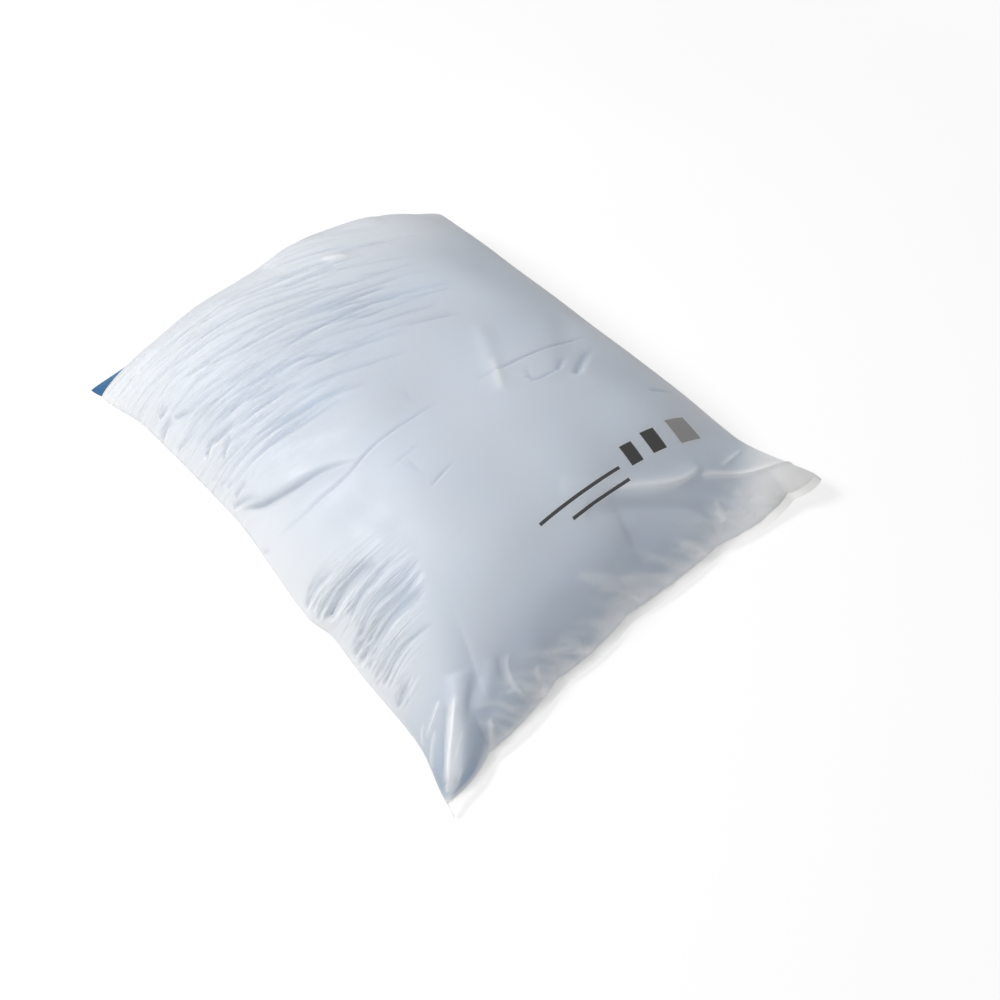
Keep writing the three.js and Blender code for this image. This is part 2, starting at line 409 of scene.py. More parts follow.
# Factors of that share, as the range of a measure and the factors at its ends: the height of a fold, the
# wall of a gully, and the distances from the weld's corners. A fold's height gives whiter tops and bluer
# valleys, partly the film's own look and partly painted highlight and shade; the gully's wall and the
# weld's left corner let more through, as painted shade; the right corner lets less through, for its painted
# grey
LIFT_FILM_AND_PAINTED_LIGHT_FACTORS = ((-1.5 * MM, 1.5 * MM), (1.19, 0.77))
HIGH_LIFT_FILM_AND_PAINTED_LIGHT_FACTORS = ((1.5 * MM, 4.5 * MM), (1.0, 0.6))
# Painted shade: more light through, bluer and darker, on a gully's steep wall
WALL_SHADE_FACTORS = ((0.0, 6 * MM), (1.0, 1.6))
# Painted shade: more light through, bluer and darker, near the weld's left corner
LEFT_CORNER_SHADE_FACTORS = ((0.03, 0.09), (1.2, 1.0))
# Less light through in the raised right corner, so that its painted grey shows
EAR_SHADE_FACTORS = (EAR_SHADE_REACH, (0.6, 1.0))

# The finest wrinkles, in the film's material: their turn, their length and spacing, their depth, and where
# they are, beside the mouth and in the left fold's gathers
FINE_TURN = math.radians(-12)
FINE_LENGTHS = (0.08, 0.006, 1)
FINE_DEPTH = 4.0 * MM
FINE_DETAIL = 4.0
FINE_ROUGHNESS = 0.6
FINE_DISTORTION = 0.3
FINE_SIDES = (0.06, -0.12)
FINE_MOUTH = (0.27, 0.38)
GATHER_MIDDLE = (-0.86, -0.44)
GATHER_REACH = (0.02, 0.07)
GRAIN = (420.0, 2.0)
GRAIN_DEPTH = 0.02 * MM

# The cushion's cloth
CLOTH_DARK = (0.020, 0.110, 0.235, 1)
CLOTH_LIGHT = (0.030, 0.145, 0.285, 1)
CLOTH_BAND = (0.010, 0.082, 0.20, 1)
CLOTH_CLOUD = (24.0, 4.0)
CLOTH_ROUGHNESS = (0.92, 0.74)
CLOTH_SHEEN = 0.2
NAP = (520.0, 3.0)
NAP_DEPTH = 0.5 * MM

# A cloud, grain or nap is noise of one scale and detail, whose values mostly lie in this range. Then two
# plain ranges to carry a value to.
NOISE_RANGE = (0.3, 0.7)
RISE = (0.0, 1.0)
FALL = (1.0, 0.0)

# The floor: how much of its look is plain white beside the bag, and the distances in metres from which it
# turns whiter and is wholly white
FLOOR_SIZE = 12
FLOOR_PAINT = (0.95, 0.95, 0.95, 1)
FLOOR_ROUGHNESS = (0.3, 0.6)
FLOOR_CLOUD = (3.0, 2.0)
FLOOR_GLOW = 0.72
FLOOR_SHADOW_REACH = (0.5, 1.4)

# The light: colour and strength of the world, and the lamp in metres and watts
WORLD_WHITE = (1, 1, 1, 1)
WORLD_LIGHT = 0.53
KEY_PLACE = Vector((-0.71, 0.38, 1.15))
KEY_SIZE = 0.5
KEY_POWER = 16.5

# The camera: where it looks from, its height over the floor in metres, and its lens in millimetres
CAMERA_AZIMUTH = math.radians(-43.4)
CAMERA_ELEVATION = math.radians(55.3)
CAMERA_TARGET = Vector((0.0099, -0.0630, 0))
CAMERA_HEIGHT = 1.094
CAMERA_SENSOR = 36
CAMERA_LENS = 54


def smoothstep(low, high, value):
    t = np.clip((value - low) / (high - low), 0, 1)
    return t * t * (3 - 2 * t)


def in_patch(patch, across, station):
    """1 inside a patch of the bag and 0 outside it."""
    across_range, station_range = patch
    return smoothstep(*across_range, across) * smoothstep(*station_range, station)


def swell(distance, shape):
    power, root = shape
    return np.maximum(0, 1 - np.abs(distance) ** power) ** root


def half_width(station):
    return WELD_HALF_WIDTH - WELD_FLARE + WELD_FLARE * ((1 - station) / 2) ** FLARE_POWER


def weld_y(across):
    return WELD_CORNER_Y + HEM_WIDTH + WELD_BOW * (1 - across ** 2)


def far_y(across):
    return FAR_LEFT_Y - FAR_SKEW * (1 + across) + FAR_BULGE * (1 - across ** 2)


def fold_z(station):
    return WELD_FOLD_Z + (SIDE_FOLD_Z - WELD_FOLD_Z) * smoothstep(-1, -1 + FOLD_RISE, station)


def fullness(across, station):
    """Share of the crown's height above the folds: more in the weld's left corner, less in its right."""
    from_crown = (station - CROWN_STATION) / (-1 - CROWN_STATION)
    slack = smoothstep(*EAR_SLACK, across)
    to_weld = (1 - slack) * swell(from_crown, WELD_SWELL) + slack * swell(from_crown, EAR_SWELL)
    to_mouth = swell((station - CROWN_STATION) / (1 - CROWN_STATION), MOUTH_SWELL)
    low = in_patch(LOW_PATCH, across, station)
    side = (1 - low) * swell(across, ACROSS_SWELL) + low * swell(across, LOW_ACROSS_SWELL)
    end = np.where(station < CROWN_STATION, to_weld, to_mouth)
    plain = side * end
    full = plain / np.sqrt(np.maximum(side ** 2 + end ** 2 - plain ** 2, TINY))
    corner = CORNER_FULLNESS * in_patch(FULL_CORNER_PATCH, across, station)
    return plain + corner * (full - plain)


def scallop(across):
    """0 at each kink of the hem and 1 midway between two of them."""
    kinks = np.array(HEM_KINKS)
    slot = np.clip(np.searchsorted(kinks, across, side="right") - 1, 0, len(kinks) - 2)
    share = (across - kinks[slot]) / (kinks[slot + 1] - kinks[slot])
    return np.sin(np.pi * np.clip(share, 0, 1)) ** SCALLOP_ROUNDNESS


def hem_shift(across, station):
    """How far the weld and its hem move out and up: scallops, and the raised right ear."""
    wave = smoothstep(*SCALLOP_STATIONS, station) * scallop(across)
    ear = in_patch(EAR_PATCH, across, station)
    return SCALLOP_OUT * wave, SCALLOP_UP * wave + EAR_LIFT * ear


def side_x(across, station):
    """Place across the bag in metres, with its sides drawn in and the left fold's bulge."""
    right_tuck = RIGHT_TUCK * in_patch(RIGHT_TUCK_PATCH, across, station)
    left_tuck = LEFT_TUCK * in_patch(LEFT_TUCK_PATCH, across, station) * smoothstep(*LEFT_TUCK_END, station)
    bulge = LEFT_BULGE * in_patch(BULGE_PATCH, across, station) * smoothstep(*BULGE_END, station)
    return across * half_width(station) * (1 - right_tuck - left_tuck) - bulge


def bag_point(across, station, upper):
    """A point of the stuffed bag, on its front or back panel. Stations from -1 to -2 run over the hem."""
    inner = np.maximum(station, -1)
    on_hem = np.minimum(0, station + 1)
    fold = fold_z(inner)
    full = fullness(across, inner)
    top = fold + (CROWN_Z - fold) * full
    off_floor = 1 - BELLY * full
    bottom = fold * (off_floor + np.sqrt(off_floor ** 2 + BELLY_ROUNDING ** 2)) / 2
    share = (inner + 1) / 2
    out, up = hem_shift(across, inner)
    tail = on_hem * smoothstep(*TAIL_ACROSS, across)
    x = side_x(across, inner) - tail * TAIL.x
    y = weld_y(across) * (1 - share) + far_y(across) * share - out + on_hem * HEM_WIDTH - tail * TAIL.y
    return np.stack([x, y, np.where(upper, top, bottom) + up], axis=-1)


def run_along(points):
    """Distance of each point from the first, along the line through them."""
    steps = np.linalg.norm(np.diff(points, axis=0), axis=-1)
    return np.concatenate([[0], np.cumsum(steps)])


FINE_ACROSS = np.sin(np.linspace(-np.pi / 2, np.pi / 2, ACROSS_STEPS))
FINE_STATION = np.linspace(-1, 1, LENGTH_STEPS)
CROWN_RUN = run_along(bag_point(np.zeros_like(FINE_STATION), FINE_STATION, True))


def row_run(station, upper=True):
    """Distances over the bag from the left fold to each fine place across, at one station."""
    return run_along(bag_point(FINE_ACROSS, np.full_like(FINE_ACROSS, station), upper))


def flat_place(across, station):
    """Where a place of the front panel lies on the flat film: metres from its middle line and its weld."""
    run = row_run(station)
    return (np.interp(across, FINE_ACROSS, run) - run[-1] / 2, np.interp(station, FINE_STATION, CROWN_RUN))


def stations_at(shares, first, last):
    """Stations that lie at the given shares of the way over the crown."""
    low, high = np.interp([first, last], FINE_STATION, CROWN_RUN)
    return np.interp(low + shares * (high - low), CROWN_RUN, FINE_STATION)


def graded(count, density):
    """Shares from 0 to 1 that crowd together where the density is high."""
    fine = np.linspace(0, 1, LENGTH_STEPS)
    total = np.concatenate([[0], np.cumsum(density(fine)[1:])])
    return np.interp(np.linspace(0, total[-1], count), total, fine)


def front_density(share):
    """Columns crowd at the left fold, and a little at the right one."""
    left = LEFT_CROWDING * smoothstep(*LEFT_CROWD, share)
    right = RIGHT_CROWDING * smoothstep(*RIGHT_CROWD, share)
    return 1 + left + right


def length_density(share):
    """Rows crowd where the left fold is gathered."""
    return 1 + ROW_CROWDING * (smoothstep(*ROW_CROWD_START, share) - smoothstep(*ROW_CROWD_END, share))


def across_at(shares, station, upper):
    """Places across that lie at the given shares of the way over the bag from fold to fold."""
    run = row_run(station, upper)
    return np.interp(shares * run[-1], run, FINE_ACROSS)


def smooth_path(stroke):
    """A smooth line on the flat film through the places of a stroke."""
    places = np.array([flat_place(across, station) for across, station in stroke])
    run = run_along(places)
    ends = np.vstack([2 * places[0] - places[1], places, 2 * places[-1] - places[-2]])
    line = []
    for at in np.linspace(0, run[-1], PATH_POINTS):
        k = min(max(int(np.searchsorted(run, at, side="right")) - 1, 0), len(run) - 2)
        t = (at - run[k]) / (run[k + 1] - run[k])
        a, b, c, d = ends[k:k + 4]
        line.append(b + 0.5 * t * (c - a + t * (2 * a - 5 * b + 4 * c - d + t * (3 * (b - c) + d - a))))
    return np.array(line)


def near_path(flat, path, reach):
    """Which flat points are near a path, how far to its right they are, and how far along it, 0 to 1."""
    low, high = path.min(axis=0) - reach, path.max(axis=0) + reach
    close = np.all((flat > low) & (flat < high), axis=-1)
    points = flat[close]
    run = run_along(path)
    away = np.full(len(points), np.inf)
    along = np.zeros(len(points))
    side = np.ones(len(points))
    for a, b, begin in zip(path[:-1], path[1:], run):
        gap = b - a
        t = np.clip(((points - a) @ gap) / (gap @ gap), 0, 1)
        offset = points - a - t[:, None] * gap
        distance = np.linalg.norm(offset, axis=-1)
        nearer = distance < away
        side = np.where(nearer, np.sign(offset[:, 0] * gap[1] - offset[:, 1] * gap[0]), side)
        away = np.where(nearer, distance, away)
        along = np.where(nearer, begin + t * np.linalg.norm(gap), along)
    return close, away * side, along / run[-1]


def soft_profile(x):
    return np.exp(-x ** 2)


def crest_profile(x, rounding=CREST_ROUNDING):
    """A sharp ridge with a rounded top."""
    return np.exp(rounding - np.sqrt(x ** 2 + rounding ** 2))


def groove_profile(x):
    """A sharp valley with a low lip on its right."""
    return GROOVE_LIP * np.exp(-(x - GROOVE_LIP_PLACE) ** 2) - crest_profile(x, GROOVE_ROUNDING)


def gully_profile(x):
    """A valley that is steep on the left of its stroke and gentle on the right."""
    return -np.exp(-np.where(x < 0, -x / GULLY_WALL, x / GULLY_SLOPE)) * smoothstep(*GULLY_END, np.abs(x))


def wall_profile(x):
    """The steep left wall of a gully alone."""
    return np.exp(np.minimum(x, 0) / GULLY_WALL) * smoothstep(*GULLY_WALL_FOOT, x)


def fade_both(share):
    """Dies out towards both ends of a stroke."""
    return np.sqrt(np.clip(4 * share * (1 - share), 0, 1))


def fade_wedge(share):
    """Comes in over the first part of a stroke and dies out along the rest."""
    return smoothstep(0, WEDGE_START, share) * (1 - share) ** WEDGE_POWER


def fade_from_pinch(share):
    """Comes in at once and dies out along the stroke."""
    return smoothstep(0, PINCH_START, share) * (1 - share) ** PINCH_POWER


def add_folds(height, flat, folds, profile, fade, spread=0.0):
    """Adds each fold's height to the field. Spread widens a fold along its stroke, or narrows it if < 0."""
    for half_width_mm, height_mm, stroke in folds:
        wide = half_width_mm * MM
        reach = FOLD_REACH * wide * max(1, 1 + spread)
        close, away, share = near_path(flat, smooth_path(stroke), reach)
        x = away / (wide * (1 + spread * share))
        height[close] += height_mm * MM * profile(x) * fade(share)


def wrinkle_folds():
    """Fine wrinkles beside the mouth, at seeded places, nearly parallel to it."""
    rng = np.random.default_rng(WRINKLE_SEED)
    folds = []
    for _ in range(WRINKLES):
        station = rng.uniform(*WRINKLE_STATIONS)
        across = WRINKLE_LEFT_END + WRINKLE_SPREAD * rng.uniform(0, 1) ** WRINKLE_CROWDING
        length = rng.uniform(*WRINKLE_LENGTHS)
        drop = rng.uniform(*WRINKLE_DROPS)
        middle = (across + length / 2, station + drop * length / 2 + rng.uniform(*WRINKLE_BENDS))
        end = (min(across + length, WRINKLE_RIGHT_END), station + drop * length)
        half_width_mm = rng.uniform(*WRINKLE_HALF_WIDTHS)
        depth_mm = rng.uniform(*WRINKLE_DEPTHS)
        folds.append((half_width_mm, depth_mm, [(across, station), middle, end]))
    return folds


def companion_pleats():
    """Finer pleats at seeded places beside each one in the left fold's gathers."""
    rng = np.random.default_rng(COMPANION_SEED)
    folds = []
    for half_width_mm, depth_mm, stroke in PLEATS[:GATHERED_PLEATS]:
        for side in COMPANION_SIDES:
            shift = side * rng.uniform(*COMPANION_SHIFTS)
            reach = rng.uniform(*COMPANION_LENGTHS)
            start = np.array(stroke[0]) + (rng.uniform(*COMPANION_STARTS), shift)
            line = [tuple(start + reach * (np.array(place) - stroke[0])) for place in stroke]
            depth = rng.uniform(*COMPANION_DEPTHS) * depth_mm
            folds.append((COMPANION_WIDTH * half_width_mm, depth, line))
    return folds


def weld_gathers():
    """Short fine ridges at seeded places along the weld, all slanting the same way from it."""
    rng = np.random.default_rng(GATHER_SEED)
    folds = []
    for across in np.linspace(*GATHER_ENDS, WELD_GATHERS):
        start = across + rng.uniform(*GATHER_SHIFTS)
        length = rng.uniform(*GATHER_LENGTHS)
        rise = rng.uniform(*GATHER_SLANTS) * length
        middle = (start - length / 2, -1 + rise * rng.uniform(*GATHER_BENDS))
        end = (start - length, -1 + rise)
        half_width_mm = rng.uniform(*GATHER_HALF_WIDTHS)
        height_mm = rng.uniform(*GATHER_HEIGHTS)
        folds.append((half_width_mm, height_mm, [(start, -1.0), middle, end]))
    return folds


def lumps(points):
    """Smooth noise about 1 high, from plane waves of about the lumps' length."""
    rng = np.random.default_rng(LUMP_SEED)
    total = np.zeros(points.shape[:-1])
    for _ in range(LUMP_WAVES):
        angle = rng.uniform(0, 2 * np.pi)
        number = 2 * np.pi / LUMP_LENGTH * rng.uniform(*LUMP_LENGTHS)
        phase = rng.uniform(0, 2 * np.pi)
        total += np.sin(number * (points[..., 0] * np.cos(angle) + points[..., 1] * np.sin(angle)) + phase)
    return total * np.sqrt(2 / LUMP_WAVES)


def tube_grid(stations, front_shares, back_shares):
    """A grid round the bag, with its flat places: rows by station, columns over the front and under it."""
    rows = []
    flat = []
    for station in np.maximum(stations, -1):
        front = across_at(front_shares, station, True)
        back = across_at(back_shares, station, False)
        rows.append(np.concatenate([front, back[::-1][1:-1]]))
        run = row_run(station)
        side = np.interp(rows[-1], FINE_ACROSS, run) - run[-1] / 2
        length = np.full_like(side, np.interp(station, FINE_STATION, CROWN_RUN))
        flat.append(np.stack([side, length], axis=-1))
    across = np.array(rows)
    flat = np.array(flat)
    station = np.repeat(stations[:, None], across.shape[1], axis=1)
    flat[..., 1] += np.minimum(0, station + 1) * HEM_WIDTH
    upper = np.broadcast_to(np.arange(across.shape[1]) < len(front_shares), across.shape)
    return across, station, upper, flat


def grid_normals(points):
    round_tube = np.roll(points, -1, axis=1) - np.roll(points, 1, axis=1)
    along = np.gradient(points, axis=0)
    normal = np.cross(round_tube, along)
    return normal / np.maximum(np.linalg.norm(normal, axis=-1, keepdims=True), TINY)


def soft_relief(flat, across):
    """Height of the lumps, soft folds and gullies that film and filling share."""
    height = LUMP_HEIGHT * lumps(flat) * (1 - np.abs(across) ** LUMP_FADE_POWER)
    add_folds(height, flat, SOFT_FOLDS, soft_profile, fade_both)
    add_folds(height, flat, GULLIES, gully_profile, fade_wedge, GULLY_SPREAD)
    return height


def film_relief(flat):
    """Height of the film's own folds."""
    height = np.zeros(flat.shape[:-1])
    add_folds(height, flat, PLEATS, groove_profile, fade_from_pinch, PLEAT_SPREAD)
    add_folds(height, flat, companion_pleats(), groove_profile, fade_from_pinch, COMPANION_SPREAD)
    add_folds(height, flat, RIDGES, crest_profile, fade_both)
    add_folds(height, flat, weld_gathers(), crest_profile, fade_from_pinch)
    add_folds(height, flat, CREASES, groove_profile, fade_both)
    add_folds(height, flat, MOUTH_WRINKLES, groove_profile, fade_both)
    add_folds(height, flat, wrinkle_folds(), groove_profile, fade_both)
    return height


def gully_walls(flat):
    """Height of the gullies' steep walls alone."""
    height = np.zeros(flat.shape[:-1])
    add_folds(height, flat, GULLIES, wall_profile, fade_wedge, GULLY_SPREAD)
    return height


def mesh_piece(name, points, faces):
    mesh = bpy.data.meshes.new(name)
    mesh.from_pydata(points.reshape(-1, 3).tolist(), [], faces)
    mesh.polygons.foreach_set("use_smooth", np.ones(len(mesh.polygons), bool))
    mesh.update()
    piece = bpy.data.objects.new(name, mesh)
    bpy.context.collection.objects.link(piece)
    return piece


def tube_faces(rows, columns):
    index = np.arange(rows * columns).reshape(rows, columns)
    ahead = np.roll(index, -1, axis=1)
    quads = np.stack([index[:-1], ahead[:-1], ahead[1:], index[1:]], axis=-1)
    return quads.reshape(-1, 4).tolist()


def row_cap(row_start, columns, cells, far_end):
    """Faces that close one end row of a tube, from its back columns to its front ones."""
    faces = []
    for cell in range(cells):
        front = [row_start + cell, row_start + cell + 1]
        back = [row_start + (columns - cell - k) % columns for k in (1, 0)]
        back = [b for b in back if b not in front]
        face = front[::-1] + back[::-1]
        faces.append(face[::-1] if far_end else face)
    return faces


def paint_flat_places(mesh, flat, upper):
    """The film's flat places as its UV map, with the back panel set a metre to the side."""
    places = flat + np.where(upper, 0.0, 1.0)[..., None] * np.array([1.0, 0.0])
    loops = np.empty(len(mesh.loops), int)
    mesh.loops.foreach_get("vertex_index", loops)
    layer = mesh.uv_layers.new(name="flat")
    layer.data.foreach_set("uv", places.reshape(-1, 2)[loops].ravel())


def paint_points(mesh, name, values):
    """A number for each point of a mesh, for its material to read."""
    layer = mesh.attributes.new(name, "FLOAT", "POINT")
    layer.data.foreach_set("value", values.ravel())


def make_film():
    hem = np.linspace(-2, -1, HEM_CELLS + 1)[:-1]
    length_shares = graded(LENGTH_CELLS + 1, length_density)
    stations = np.concatenate([hem, stations_at(length_shares, -1, MOUTH_STATION)])
    front_shares = graded(FRONT_CELLS + 1, front_density)
    back_shares = (1 - np.cos(np.linspace(0, np.pi, BACK_CELLS + 1))) / 2
    across, station, upper, flat = tube_grid(stations, front_shares, back_shares)
    base = bag_point(across, station, upper)
    lift = film_relief(flat)
    height = np.where(upper, soft_relief(flat, across) + lift, 0) * smoothstep(*WELD_FADE, station)
    points = base + grid_normals(base) * height[..., None]
    reach = in_patch(MOUTH_CORNER_PATCH, across, station)
    points = points + reach[..., None] * np.array(MOUTH_CORNER_REACH)
    under_hem = ~upper & (station <= -1)
    points[under_hem, 2] -= HEM_GAP
    points[..., 2] = np.maximum(points[..., 2], FLOOR_GAP)
    film = mesh_piece("film", points, tube_faces(*across.shape))
    paint_flat_places(film.data, flat, upper)
    # The folds' height, which the material reads for whiter tops and bluer valleys, partly painted
    # highlight and shade
    paint_points(film.data, "lift", np.where(upper, lift, 0))
    # The gully walls' heights, which the material reads for their painted shade
    paint_points(film.data, "wall", np.where(upper, gully_walls(flat), 0))
    return film


def contents_end(across):
    """Station where the cushion ends short of the weld."""
    places, gaps = zip(*CUSHION_END_GAPS)
    return -1 + np.interp(across, places, gaps) * MM / HALF_LENGTH


def cushion_heights(across, station, flat):
    """Middle and half of the cushion's thickness between the film's panels, before its end is rounded."""
    relief = soft_relief(flat, across) * smoothstep(*WELD_FADE, station)
    relief = np.minimum(np.where(relief < 0, CUSHION_VALLEY * relief, relief), CUSHION_RIDGE)
    top = bag_point(across, station, True)[..., 2] + relief
    under = UNDER_GAP * smoothstep(*UNDER_GAP_ACROSS, np.abs(across))
    bottom = bag_point(across, station, False)[..., 2] + under
    half = np.maximum(0, top - bottom) / 2
    left_gap = LEFT_GAP * in_patch(LEFT_GAP_PATCH, across, station)
    mouth_gap = MOUTH_GAP * in_patch(MOUTH_GAP_PATCH, across, station)
    return (top + bottom) / 2, half ** 2 / (half + CUSHION_GAP + left_gap + mouth_gap)


def side_gaps(across, station):
    """Gap between the cushion and the side folds: wider on the left, but for the corner at the weld."""
    loose = smoothstep(*LEFT_GAP_PATCH[1], station)
    left = LEFT_SIDE_GAP_AT_WELD + (LEFT_SIDE_GAP - LEFT_SIDE_GAP_AT_WELD) * loose
    return np.where(across < 0, left, RIGHT_SIDE_GAP)


def corner_shifts(across, station):
    """How far the cushion's two corners at the mouth are moved."""
    poke = in_patch(CORNER_POKE_PATCH, across, station)
    poke = poke * (1 - CORNER_BLUNTING * smoothstep(*CORNER_TIP, across))
    tuck = in_patch(RIGHT_CORNER_PATCH, across, station)
    return poke[..., None] * np.array(CORNER_POKE) + tuck[..., None] * np.array(RIGHT_CORNER_TUCK)


def make_cushion():
    stations = stations_at(np.linspace(0, 1, CUSHION_LENGTH_CELLS + 1), -1, CUSHION_FAR_STATION)
    shares = np.linspace(0, 1, CUSHION_FRONT_CELLS + 1)
    across, station, upper, flat = tube_grid(stations, shares, shares)
    end = contents_end(across)
    station = end + (station + 1) / (CUSHION_FAR_STATION + 1) * (CUSHION_FAR_STATION - end)
    flat[..., 1] = np.interp(station, FINE_STATION, CROWN_RUN)
    points = bag_point(across, station, True)
    middle, half = cushion_heights(across, station, flat)
    away = np.clip((station - end) / CUSHION_ROUNDING + CUSHION_BLUNT_END, 0, 1)
    half = half * np.sqrt(1 - (1 - away) ** 2)
    points[..., 2] = middle + np.where(upper, half, -half)
    points[..., 0] *= 1 - side_gaps(across, station) / WELD_HALF_WIDTH
    points = points + corner_shifts(across, station)
    rows, columns = across.shape
    faces = tube_faces(rows, columns)
    faces += row_cap(0, columns, CUSHION_FRONT_CELLS, False)
    faces += row_cap((rows - 1) * columns, columns, CUSHION_FRONT_CELLS, True)
    cushion = mesh_piece("cushion", points, faces)
    paint_points(cushion.data, "band", smoothstep(*BAND_STATIONS, station))
    return cushion


def new_material(name):
    """A material with an empty node tree but for its output."""
    material = bpy.data.materials.new(name)
    material.use_nodes = True
    material.node_tree.nodes.clear()
    return material, material.node_tree.nodes.new("ShaderNodeOutputMaterial")


def node(material, kind, inputs=(), **settings):
    """A node of the material, with its settings, and its inputs set to values or linked to sockets."""
    made = material.node_tree.nodes.new("ShaderNode" + kind)
    for key, value in settings.items():
        setattr(made, key, value)
    for key, value in dict(inputs).items():
        if isinstance(value, bpy.types.NodeSocket):
            material.node_tree.links.new(value, made.inputs[key])
        else:
            made.inputs[key].default_value = value
    return made


def remap(material, value, span, to=RISE):
    """A value carried smoothly from one range to another."""
    ranges = {"Value": value, "From Min": span[0], "From Max": span[1], "To Min": to[0], "To Max": to[1]}
    return node(material, "MapRange", ranges, interpolation_type="SMOOTHSTEP").outputs["Result"]


def math_node(material, operation, *values, use_clamp=False):
    return node(material, "Math", enumerate(values), operation=operation, use_clamp=use_clamp).outputs[0]


def mix_colors(material, share, first, second):
    return node(material, "Mix", {0: share, 6: first, 7: second}, data_type="RGBA").outputs[2]


def noise(material, places, scale, detail, **more):
    inputs = {"Vector": places, "Scale": scale, "Detail": detail, **more}
    return node(material, "TexNoise", inputs).outputs["Fac"]


def attribute(material, name):
    return node(material, "Attribute", attribute_name=name).outputs["Fac"]


def looseness_with_painted_light(material, side, length):
    """0 where the film lies tight on the cushion, and 1 towards the side folds and the mouth, where it is
    made
    whiter: partly the film standing off the cushion, partly painted light for the lit left side.
    """
    beside = remap(material, math_node(material, "ABSOLUTE", side), LOOSE_SIDES)
    at_side = math_node(material, "MULTIPLY", beside, remap(material, length, LOOSE_SIDES_FROM_WELD))
    return math_node(material, "MAXIMUM", at_side, remap(material, length, LOOSE_MOUTH))


def distance_to(material, places, place):
    """Distance over the flat film to a place of the front panel."""
    point = Vector((*flat_place(*place), 0))
    return node(material, "VectorMath", {0: places, 1: point}, operation="DISTANCE").outputs["Value"]


def film_color(material, places, length):
    """Milky white, with painted shade where no cushion lies behind: a little greyer at the hem and much
    greyer in the raised right corner, for the shadowed floor seen through the film.
    """
    # Painted shade: greyer at the hem
    hem = remap(material, length, HEM_EDGE, FALL)
    # Painted shade: much greyer in the raised right corner
    ear = remap(material, distance_to(material, places, RIGHT_CORNER), EAR_SHADE_REACH, FALL)
    return mix_colors(material, ear, mix_colors(material, hem, FILM_WHITE, HEM_SHADE_GREY), EAR_SHADE_GREY)


def light_through(material, places, side, length):
    """Share of the light that goes through the film: less where it is loose, lifted in a fold or in the
    raised right corner, and more in a fold's valley, on a gully's wall and at the weld's left corner. The
    whiter loose sides and fold tops are partly painted light; the bluer fold valleys are partly, and the
    gully walls, the left corner and the greyer right corner wholly, painted shade.
    """
    tight = remap(material, length, TIGHT_LENGTHS, TIGHT_SHARES)
    # Loose film is whiter: partly its own look, partly painted light
    loose = looseness_with_painted_light(material, side, length)
    share = node(material, "Mix", {0: loose, 2: tight, 3: LOOSE_SHARE_WITH_PAINTED_LIGHT}).outputs[0]
    lift = attribute(material, "lift")
    for value, factors in (
        # Whiter fold tops and bluer valleys: partly the film's own look, partly painted highlight and shade
        (lift, LIFT_FILM_AND_PAINTED_LIGHT_FACTORS),
        (lift, HIGH_LIFT_FILM_AND_PAINTED_LIGHT_FACTORS),
        # Painted shade on the gullies' steep walls
        (attribute(material, "wall"), WALL_SHADE_FACTORS),
        # Painted shade at the weld's left corner
        (distance_to(material, places, LEFT_CORNER), LEFT_CORNER_SHADE_FACTORS),
        # Less light through where the right corner's painted grey is
        (distance_to(material, places, RIGHT_CORNER), EAR_SHADE_FACTORS),
    ):
        share = math_node(material, "MULTIPLY", share, remap(material, value, *factors))
    return share


def film_bump(material, places, side, length):
    """Normals of the finest wrinkles, beside the mouth and in the left gathers, and of a faint grain."""
    turn = {"Vector": places, "Rotation": (0, 0, FINE_TURN), "Scale": FINE_LENGTHS}
    turned = node(material, "Mapping", turn, vector_type="TEXTURE").outputs[0]
    lines = noise(material, turned, 1.0, FINE_DETAIL, Roughness=FINE_ROUGHNESS, Distortion=FINE_DISTORTION)
    crease = math_node(material, "ABSOLUTE", math_node(material, "SUBTRACT", lines, 0.5))
    left = remap(material, side, FINE_SIDES)
    beside_mouth = math_node(material, "MULTIPLY", left, remap(material, length, FINE_MOUTH))
    gathered = remap(material, distance_to(material, places, GATHER_MIDDLE), GATHER_REACH, FALL)
    depth = math_node(material, "MAXIMUM", beside_mouth, gathered)
    wrinkles = math_node(material, "MULTIPLY", crease, depth)
    grain = noise(material, places, *GRAIN)
    fine = node(material, "Bump", {"Height": grain, "Distance": GRAIN_DEPTH}).outputs[0]
    return node(material, "Bump", {"Height": wrinkles, "Distance": FINE_DEPTH, "Normal": fine}).outputs[0]


def within(material, value, middle, width):
    """1 where the value lies within the width about the middle, and 0 outside."""
    return math_node(material, "COMPARE", value, middle, width / 2)


def print_field(material, side, length, middle, width, height):
    """1 inside an upright block of the flat film."""
    in_width = within(material, side, middle[0], width)
    in_height = within(material, length, middle[1], height)
    return math_node(material, "MULTIPLY", in_width, in_height)


def print_fields(material, side, length):
    """Each printed field's mask and ink."""
    for left, right, width_mm in PRINT_BARS:
        ends = np.array([flat_place(*left), flat_place(*right)])
        size = (ends[1, 0] - ends[0, 0], width_mm * MM)
        yield print_field(material, side, length, ends.mean(axis=0), *size), INK
    for middle, width_mm, height_mm, ink in PRINT_BLOCKS:
        yield print_field(material, side, length, flat_place(*middle), width_mm * MM, height_mm * MM), ink


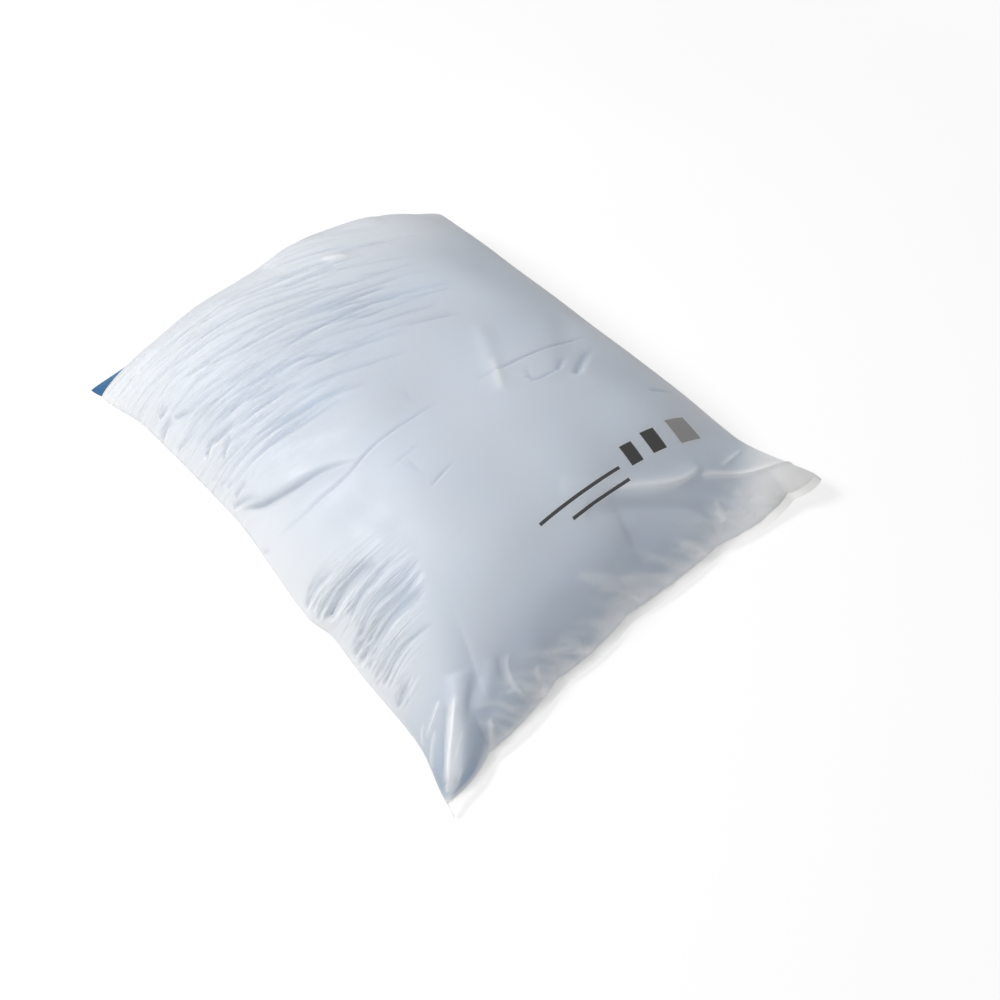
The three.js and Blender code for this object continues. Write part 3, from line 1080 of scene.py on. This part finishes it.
def film_material():
    """Milky film that lets about half of the light through, with plain fields of ink that let none."""
    material, out = new_material("film")
    places = node(material, "UVMap", uv_map="flat").outputs["UV"]
    place = node(material, "SeparateXYZ", {"Vector": places})
    side, length = place.outputs["X"], place.outputs["Y"]
    normal = film_bump(material, places, side, length)
    cloud = noise(material, places, *FILM_CLOUD)
    share = light_through(material, places, side, length)
    color = film_color(material, places, length)
    for mask, ink in print_fields(material, side, length):
        color = mix_colors(material, mask, color, ink)
        bare = math_node(material, "SUBTRACT", 1.0, mask)
        share = math_node(material, "MULTIPLY", share, bare)
    front = node(material, "BsdfPrincipled", {
        "Base Color": color,
        "Roughness": remap(material, cloud, NOISE_RANGE, FILM_ROUGHNESS),
        "Normal": normal,
        "Specular IOR Level": FILM_GLOSS,
    })
    through = node(material, "BsdfTranslucent", {"Color": THROUGH_WHITE, "Normal": normal})
    mix = node(material, "MixShader", {0: share, 1: front.outputs[0], 2: through.outputs[0]})
    material.node_tree.links.new(mix.outputs[0], out.inputs[0])
    return material


def cushion_material():
    """Blue cloth with a fine nap and slow changes of colour, darker at its far end."""
    material, out = new_material("cushion")
    places = node(material, "TexCoord").outputs["Object"]
    cloud = remap(material, noise(material, places, *CLOTH_CLOUD), NOISE_RANGE)
    blues = mix_colors(material, cloud, CLOTH_DARK, CLOTH_LIGHT)
    nap = noise(material, places, *NAP)
    cloth = node(material, "BsdfPrincipled", {
        "Base Color": mix_colors(material, attribute(material, "band"), blues, CLOTH_BAND),
        "Roughness": remap(material, nap, NOISE_RANGE, CLOTH_ROUGHNESS),
        "Normal": node(material, "Bump", {"Height": nap, "Distance": NAP_DEPTH}).outputs[0],
        "Sheen Weight": CLOTH_SHEEN,
    })
    material.node_tree.links.new(cloth.outputs[0], out.inputs[0])
    return material


def background_rays(material):
    """1 for the camera's rays, and for those that mirror or pass its view."""
    path = node(material, "LightPath").outputs
    mirrored = math_node(material, "ADD", path["Is Glossy Ray"], path["Is Transmission Ray"])
    return math_node(material, "ADD", path["Is Camera Ray"], mirrored, use_clamp=True)


def floor_material():
    """Pale floor that the camera, and what mirrors or passes its view, sees as white but for the shadow."""
    material, out = new_material("floor")
    places = node(material, "TexCoord").outputs["Object"]
    rough = remap(material, noise(material, places, *FLOOR_CLOUD), NOISE_RANGE, FLOOR_ROUGHNESS)
    paint = node(material, "BsdfDiffuse", {"Color": FLOOR_PAINT, "Roughness": rough})
    glow = node(material, "Emission", {"Strength": 1.0})
    distance = node(material, "VectorMath", {0: places}, operation="LENGTH").outputs["Value"]
    white = remap(material, distance, FLOOR_SHADOW_REACH, (FLOOR_GLOW, 1.0))
    share = math_node(material, "MULTIPLY", background_rays(material), white)
    mix = node(material, "MixShader", {0: share, 1: paint.outputs[0], 2: glow.outputs[0]})
    material.node_tree.links.new(mix.outputs[0], out.inputs[0])
    return material


def studio_world():
    """Even white light, which the camera sees as a white background."""
    world = bpy.data.worlds.new("studio")
    world.use_nodes = True
    world.node_tree.nodes.clear()
    out = node(world, "OutputWorld")
    light = node(world, "Background", {"Color": WORLD_WHITE, "Strength": WORLD_LIGHT})
    seen = node(world, "Background", {"Color": WORLD_WHITE, "Strength": 1.0})
    mix = node(world, "MixShader", {0: background_rays(world), 1: light.outputs[0], 2: seen.outputs[0]})
    world.node_tree.links.new(mix.outputs[0], out.inputs[0])
    return world


def make_floor():
    bpy.ops.mesh.primitive_plane_add(size=FLOOR_SIZE, location=(0, 0, 0))
    floor = bpy.context.object
    floor.name = "floor"
    floor.data.materials.append(floor_material())


def make_lamp():
    light = bpy.data.lights.new("key", "AREA")
    light.size = KEY_SIZE
    light.energy = KEY_POWER
    lamp = bpy.data.objects.new("key", light)
    lamp.location = KEY_PLACE
    lamp.rotation_euler = KEY_PLACE.to_track_quat("Z", "Y").to_euler()
    lamp.visible_camera = False
    bpy.context.collection.objects.link(lamp)


def make_camera():
    level = math.cos(CAMERA_ELEVATION)
    toward = Vector((math.sin(CAMERA_AZIMUTH) * level, -math.cos(CAMERA_AZIMUTH) * level,
                     math.sin(CAMERA_ELEVATION)))
    data = bpy.data.cameras.new("camera")
    data.sensor_width = CAMERA_SENSOR
    data.lens = CAMERA_LENS
    camera = bpy.data.objects.new("camera", data)
    camera.location = CAMERA_TARGET + toward * (CAMERA_HEIGHT / math.sin(CAMERA_ELEVATION))
    camera.rotation_euler = toward.to_track_quat("Z", "Y").to_euler()
    bpy.context.collection.objects.link(camera)
    bpy.context.scene.camera = camera


bpy.context.scene.view_settings.view_transform = "Standard"
bpy.context.scene.world = studio_world()
make_camera()
make_floor()
make_lamp()

cushion = make_cushion()
cushion.data.materials.append(cushion_material())
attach(cushion, "root")
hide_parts("packed_cushion")

film = make_film()
film.data.materials.append(film_material())
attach(film, "root")
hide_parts("film_bag")
